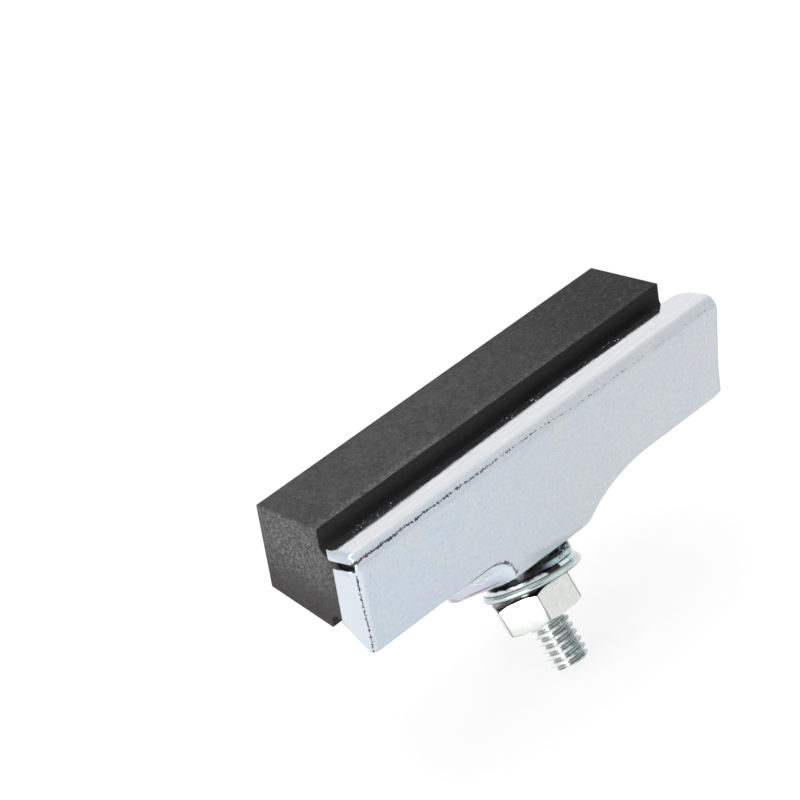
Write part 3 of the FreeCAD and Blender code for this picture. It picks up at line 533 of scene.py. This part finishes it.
def nut_steel(spot, axis, height_total):
    finish, tree, shader, place, base = steel(
        "nut_steel", (0.77, 0.80, 0.77), (0.67, 0.69, 0.66), 0.20, 0.5, 1.2, 0.003)
    height, reach = about_axis(tree, place, spot, axis)
    corner = band(tree, reach, NUT_CORNER - 0.16 * MM, NUT_CORNER - 0.07 * MM, 0, 0.7)
    base = blend(tree, corner, base, (0.20, 0.19, 0.18))
    # the two corner chamfers, found by height against distance
    rise = maths(tree, "MULTIPLY", maths(tree, "SUBTRACT", reach, NUT_CORNER - NUT_CHAMFER), math.tan(NUT_BEVEL))
    upper = band(tree, maths(tree, "SUBTRACT", height, rise), 0.13 * MM, 0.05 * MM)
    lower = band(tree, maths(tree, "SUBTRACT", maths(tree, "SUBTRACT", height_total, height), rise),
                 0.13 * MM, 0.05 * MM)
    upper = maths(tree, "MAXIMUM", upper, band(tree, height, 0.10 * MM, 0.05 * MM))
    base = blend(tree, times(tree, upper, 0.9), base, (0.060, 0.080, 0.080))
    base = blend(tree, times(tree, lower, 0.75), base, (0.46, 0.46, 0.45))
    feed(tree, shader.inputs["Base Color"], base)
    return finish


def thread_steel(spot, axis):
    finish, tree, shader, place, base = steel(
        "thread_steel", (0.68, 0.75, 0.75), (0.24, 0.27, 0.27), 0.15, 0.75, 1.3, 0.003)
    height, reach = about_axis(tree, place, spot, axis)
    # paler towards the light's side
    x = parts_of(tree, place)[0]
    base = blend(tree, band(tree, x, -0.2 * MM, -1.8 * MM, 0, 0.9), base, (0.97, 0.99, 0.98))
    base = blend(tree, band(tree, x, 0.4 * MM, 2.4 * MM, 0, 0.45), base, (0.36, 0.40, 0.40))
    # darker in the roots, and wear on the crests
    deep = times(tree, band(tree, reach, 2.72 * MM, 2.44 * MM, 0, 0.7), band(tree, height, -12 * MM, -11 * MM),
                 band(tree, height, 4.36 * MM, 4.28 * MM))
    base = blend(tree, deep, base, (0.20, 0.225, 0.225))
    crest = band(tree, reach, MAJOR - 0.10 * MM, MAJOR - 0.02 * MM, 0, 0.35)
    base = blend(tree, crest, base, (0.34, 0.33, 0.31))
    feed(tree, shader.inputs["Base Color"], base)
    return finish


def pick_skin(piece, low_x=-1, high_x=1, high_z=1):
    """Selects the plate's outer faces whose middles lie in a window, in metres."""
    edit(piece)
    bpy.ops.mesh.select_mode(type="FACE")
    bpy.ops.mesh.select_all(action="DESELECT")
    leave()
    for face in piece.data.polygons:
        middle = face.center
        face.select = (face.normal.y < -0.98 and abs(middle.y - plate_y) < 0.05 * MM
                       and low_x < middle.x < high_x and middle.z < high_z)
    bpy.ops.object.mode_set(mode="EDIT")


def press_scoop(piece):
    """Presses the plate's lower rim in under the crease, beside the seat's fold."""
    left, right, top = SCOOP_LEFT - 1.2 * MM, SCOOP_RIGHT + 0.6 * MM, SCOOP_LOW + SCOOP_RISE + 0.4 * MM
    for cut in (left, right):
        pick_skin(piece)
        bpy.ops.mesh.bisect(plane_co=(cut, 0, 0), plane_no=(1, 0, 0))
    pick_skin(piece, left, right)
    bpy.ops.mesh.bisect(plane_co=(0, 0, top), plane_no=(0, 0, 1))
    for step in range(1, SCOOP_COLUMNS):
        pick_skin(piece, left, right, top)
        bpy.ops.mesh.bisect(plane_co=(left + (right - left) * step / SCOOP_COLUMNS, 0, 0), plane_no=(1, 0, 0))
    for step in range(1, SCOOP_ROWS):
        pick_skin(piece, left, right, top)
        bpy.ops.mesh.bisect(plane_co=(0, 0, top - step * SCOOP_ROW), plane_no=(0, 0, 1))
    leave()

    # the outer face goes in by the full depth and the sheet's inner face stays
    inward, plate_foot, left_ramp, right_ramp = 1.5 * MM, 12 * MM, 3 * MM, 1.6 * MM
    for vertex in piece.data.vertices:
        spot = vertex.co
        if not (left < spot.x < right and spot.z > plate_foot and spot.y < plate_y + inward):
            continue
        under = scoop_line(spot.x) - spot.z
        ends = min((spot.x - left) / left_ramp, (right - spot.x) / right_ramp, 1)
        depth = min(max(under / SCOOP_FALL, 0), 1) * max(ends, 0) * (1 - (spot.y - plate_y) / inward)
        spot.y += SCOOP_DEPTH * depth


def plated_holder(finish):
    piece = cad_copy("holder", "plated_holder")
    round_edges(piece, 0.45 * MM, 3, 35)
    press_scoop(piece)
    smooth(piece, 32)
    take_over(piece, "holder", finish)


def rubber_pad(finish):
    piece = cad_copy("rubber_block", "rubber_pad")
    round_edges(piece, 0.14 * MM, 2, 35)
    smooth(piece, 32)
    take_over(piece, "rubber_block", finish)


def wall_in(piece, spot, axis, from_reach, share, centre):
    """Draws a washer's outer wall in towards a centre."""
    edit(piece)
    bpy.ops.mesh.select_all(action="DESELECT")
    bpy.ops.mesh.select_mode(type="VERT")
    leave()
    for vertex in piece.data.vertices:
        offset = vertex.co - spot
        vertex.select = (offset - axis * offset.dot(axis)).length > from_reach
    bpy.ops.object.mode_set(mode="EDIT")
    side = axis.cross(ACROSS).normalized()
    frame_of_washer = Matrix((side.cross(axis), side, axis)).transposed()
    bpy.ops.transform.resize(value=(share, share, 1), orient_type="GLOBAL", orient_matrix=frame_of_washer,
                             orient_matrix_type="GLOBAL", center_override=centre)
    leave()


def washers_and_nut():
    """The two washers and the nut."""
    spot, total = middle_on_axis("spring_washer", washer_axis)
    spring = cad_copy("spring_washer", "coiled_washer")
    wall_in(spring, spot, washer_axis, SPRING_WALL, SPRING_SHARE, spot + SPRING_CENTRE)
    round_edges(spring, 0.2 * MM, 3, 35)
    smooth(spring)
    take_over(spring, "spring_washer", shaded_spring_steel(spot, washer_axis, total))
    spot, total = middle_on_axis("dished_washer", washer_axis)
    cup = cad_copy("dished_washer", "cup_washer")
    round_edges(cup, 0.42 * MM, 4, 25)
    smooth(cup)
    take_over(cup, "dished_washer", cup_steel(spot, washer_axis, total))
    spot, total = middle_on_axis("hex_nut", stud_axis)
    nut = cad_copy("hex_nut", "plated_nut")
    round_edges(nut, 0.14 * MM, 2, 20)
    smooth(nut, 25)
    take_over(nut, "hex_nut", nut_steel(spot, stud_axis, total))


def middle_on_axis(node, axis):
    """The middle of a turned node's seat side, and its height along the axis."""
    side = axis.cross(ACROSS).normalized()
    ways = (side.cross(axis), side, axis)
    spans = []
    for way in ways:
        reaches = [vertex.co.dot(way) for vertex in frame["nodes"][node].data.vertices]
        spans.append((min(reaches), max(reaches)))
    middle = sum((way * (low + high) / 2 for way, (low, high) in zip(ways[:2], spans)), Vector())
    return middle + axis * spans[2][0], spans[2][1] - spans[2][0]


def along_stud(node):
    heights = [vertex.co.dot(stud_axis) for vertex in frame["nodes"][node].data.vertices]
    return min(heights), max(heights)


def screw_thread(nut_low, neck_top, tip):
    """Screws one turn's profile up the Z axis, and cuts it off at the neck and the tip."""
    turns_to_nut = math.floor((nut_low - 0.5 * MM + SEAT_DISTANCE) / PITCH)
    thread_start = (turns_to_nut - 0.5) * PITCH - SEAT_DISTANCE
    # each point is a radius and a share of the pitch
    chain = ((MINOR, 0), (MINOR, 0.13), (MAJOR - 0.05 * MM, 0.445), (MAJOR, 0.475), (MAJOR, 0.525),
             (MAJOR - 0.05 * MM, 0.555), (MINOR, 0.87), (MINOR, 1))
    spots = [(radius, 0, thread_start + share * PITCH) for radius, share in chain]
    mesh = bpy.data.meshes.new("thread")
    mesh.from_pydata(spots, [(i, i + 1) for i in range(len(chain) - 1)], [])
    thread = bpy.data.objects.new("stud_threaded", mesh)
    bpy.context.scene.collection.objects.link(thread)
    screw = thread.modifiers.new("turns", "SCREW")
    screw.axis = "Z"
    screw.angle = math.tau
    screw.screw_offset = PITCH
    screw.iterations = math.ceil((tip - thread_start) / PITCH) + 1
    screw.steps = THREAD_STEPS
    screw.render_steps = THREAD_STEPS
    screw.use_merge_vertices = True
    screw.merge_threshold = 0.001 * MM
    screw.use_smooth_shade = True
    apply_all(thread)
    edit(thread)
    for cut, keep_inner in ((neck_top, False), (tip, True)):
        bpy.ops.mesh.select_all(action="SELECT")
        bpy.ops.mesh.bisect(plane_co=(0, 0, cut), plane_no=(0, 0, 1), use_fill=True,
                            clear_inner=not keep_inner, clear_outer=keep_inner, threshold=0.0001 * MM)
    bpy.ops.mesh.select_all(action="SELECT")
    bpy.ops.mesh.normals_make_consistent(inside=False)
    leave()
    return thread


def cut_lead_in(thread, foot, tip):
    """Cuts the tip's chamfer with a cylinder that narrows there."""
    around, spare = MAJOR + 0.3 * MM, 1 * MM
    bpy.ops.mesh.primitive_cylinder_add(vertices=96, radius=around, depth=tip - foot + 2 * spare,
                                        location=(0, 0, (tip + foot) / 2))
    envelope = bpy.context.object
    edit(envelope)
    bpy.ops.mesh.select_all(action="DESELECT")
    leave()
    for face in envelope.data.polygons:
        face.select = face.normal.z > 0.9
    bpy.ops.object.mode_set(mode="EDIT")
    bpy.ops.transform.translate(value=(0, 0, -spare - LEAD_IN))
    bpy.ops.mesh.extrude_region_move(TRANSFORM_OT_translate={"value": (0, 0, LEAD_IN + 0.01 * MM)})
    narrowing = LEAD_IN_RADIUS / around
    bpy.ops.transform.resize(value=(narrowing, narrowing, 1), center_override=(0, 0, tip))
    leave()
    trim = thread.modifiers.new("lead_in", "BOOLEAN")
    trim.operation = "INTERSECT"
    trim.solver = "EXACT"
    trim.object = envelope
    apply_all(thread)
    bpy.data.objects.remove(envelope)


def neck_with_head(foot, top):
    """A plain neck, its foot drawn out to the head that bears inside the seat."""
    head_top = -SEAT_DISTANCE - SHEET
    bpy.ops.mesh.primitive_cylinder_add(vertices=64, radius=NECK, depth=top - foot,
                                        location=(0, 0, (top + foot) / 2))
    neck = bpy.context.object
    only(neck)
    bpy.ops.object.transform_apply(location=True, rotation=True, scale=True)
    edit(neck)
    bpy.ops.mesh.bisect(plane_co=(0, 0, head_top), plane_no=(0, 0, 1))
    bpy.ops.mesh.select_mode(type="FACE")
    bpy.ops.mesh.select_all(action="DESELECT")
    leave()
    for face in neck.data.polygons:
        face.select = face.center.z < head_top - 0.1 * MM and abs(face.normal.z) < 0.1
    bpy.ops.object.mode_set(mode="EDIT")
    bpy.ops.mesh.extrude_region_shrink_fatten(TRANSFORM_OT_shrink_fatten={"value": HEAD - NECK})
    bpy.ops.mesh.select_all(action="SELECT")
    bpy.ops.mesh.normals_make_consistent(inside=False)
    leave()
    round_edges(neck, 0.3 * MM, 2, 40)
    return neck


def stud_with_thread(finish):
    """Head, plain neck and real thread, drawn along Z and then laid on the stud's axis."""
    foot, tip = along_stud("stud")
    nut_low = along_stud("hex_nut")[0]
    neck_top = nut_low - 0.2 * MM
    stud = screw_thread(nut_low, neck_top, tip)
    cut_lead_in(stud, nut_low, tip)
    neck = neck_with_head(foot, neck_top)
    only(stud)
    neck.select_set(True)
    bpy.ops.object.join()
    stud.matrix_world = Matrix((ACROSS, stud_axis.cross(ACROSS), stud_axis)).transposed().to_4x4()
    bpy.ops.object.transform_apply(location=True, rotation=True, scale=True)
    smooth(stud, 35)
    take_over(stud, "stud", finish)


def set_stage():
    """A pale floor that glows where it is seen, so that it comes out white but keeps the shadow."""
    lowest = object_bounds()[0][2]
    bpy.ops.mesh.primitive_plane_add(size=FLOOR_SIZE, location=(0, 0, lowest - FLOOR_GAP))
    floor = bpy.context.object
    floor.name = "pale_floor"
    finish = bpy.data.materials.new("pale_floor")
    finish.use_nodes = True
    tree = finish.node_tree
    shader = tree.nodes["Principled BSDF"]
    shader.inputs["Base Color"].default_value = (0.86, 0.86, 0.86, 1)
    shader.inputs["Roughness"].default_value = 0.9
    glow = tree.nodes.new("ShaderNodeEmission")
    glow.inputs["Color"].default_value = (1, 1, 1, 1)
    glow.inputs["Strength"].default_value = 1.0
    rays = tree.nodes.new("ShaderNodeLightPath")
    seen = maths(tree, "MAXIMUM", rays.outputs["Is Camera Ray"], rays.outputs["Is Glossy Ray"])
    seen = maths(tree, "MAXIMUM", seen, rays.outputs["Is Transmission Ray"])
    mixer = tree.nodes.new("ShaderNodeMixShader")
    feed(tree, mixer.inputs[0], maths(tree, "MULTIPLY", seen, FLOOR_GLOW))
    tree.links.new(shader.outputs[0], mixer.inputs[1])
    tree.links.new(glow.outputs[0], mixer.inputs[2])
    tree.links.new(mixer.outputs[0], tree.nodes["Material Output"].inputs["Surface"])
    floor.data.materials.append(finish)


def set_sky(camera_side):
    """A white sky that is dark behind the camera, as a photographer leaves it."""
    world = bpy.data.worlds.new("studio")
    bpy.context.scene.world = world
    world.use_nodes = True
    tree = world.node_tree
    ground = tree.nodes["Background"]
    toward = tree.nodes.new("ShaderNodeVectorMath")
    toward.operation = "DOT_PRODUCT"
    place = tree.nodes.new("ShaderNodeTexCoord").outputs["Generated"]
    tree.links.new(place, toward.inputs[0])
    toward.inputs[1].default_value = camera_side
    dark_side = band(tree, toward.outputs["Value"], 0.89, 0.99, SKY_LEVEL, SKY_DARK)
    rays = tree.nodes.new("ShaderNodeLightPath")
    level = maths(tree, "MAXIMUM", dark_side, rays.outputs["Is Camera Ray"])
    ground.inputs["Color"].default_value = (1, 1, 1, 1)
    feed(tree, ground.inputs["Strength"], level)


def lamp(name, spot, size, power):
    """Adds a soft box, placed in metres."""
    data = bpy.data.lights.new(name, "AREA")
    data.shape = "RECTANGLE"
    data.size, data.size_y = size
    data.energy = power
    thing = bpy.data.objects.new(name, data)
    bpy.context.scene.collection.objects.link(thing)
    thing.location = spot
    thing.rotation_euler = (LAMP_AIM - Vector(spot)).to_track_quat("-Z", "Y").to_euler()


def set_camera():
    """Adds the camera and gives the way from the pad to it."""
    back = Vector((math.sin(AZIMUTH) * math.cos(ELEVATION), -math.cos(AZIMUTH) * math.cos(ELEVATION),
                   math.sin(ELEVATION)))
    right = Vector((math.cos(AZIMUTH), math.sin(AZIMUTH), 0))
    up = back.cross(right)
    rolled_right = right * math.cos(ROLL) + up * math.sin(ROLL)
    rolled_up = up * math.cos(ROLL) - right * math.sin(ROLL)
    data = bpy.data.cameras.new("camera")
    data.lens = FOCAL_LENGTH
    data.sensor_width = SENSOR_WIDTH
    camera = bpy.data.objects.new("camera", data)
    bpy.context.scene.collection.objects.link(camera)
    turn = Matrix((rolled_right, rolled_up, back)).transposed().to_4x4()
    camera.matrix_world = Matrix.Translation(AIM + back * DISTANCE) @ turn
    bpy.context.scene.camera = camera
    return back


back = set_camera()
plated_holder(zinc_plating())
rubber_pad(moulded_rubber())
washers_and_nut()
stud_with_thread(thread_steel(tuple(stud_mount["pos_m"]), tuple(stud_axis)))

set_stage()
set_sky(back)
lamp("left_softbox", (-0.62, -0.10, 0.10), (0.5, 0.5), 5.0)
lamp("top_softbox", (-0.05, 0.25, 0.75), (0.7, 0.5), 3.0)
bpy.context.scene.view_settings.view_transform = "Standard"
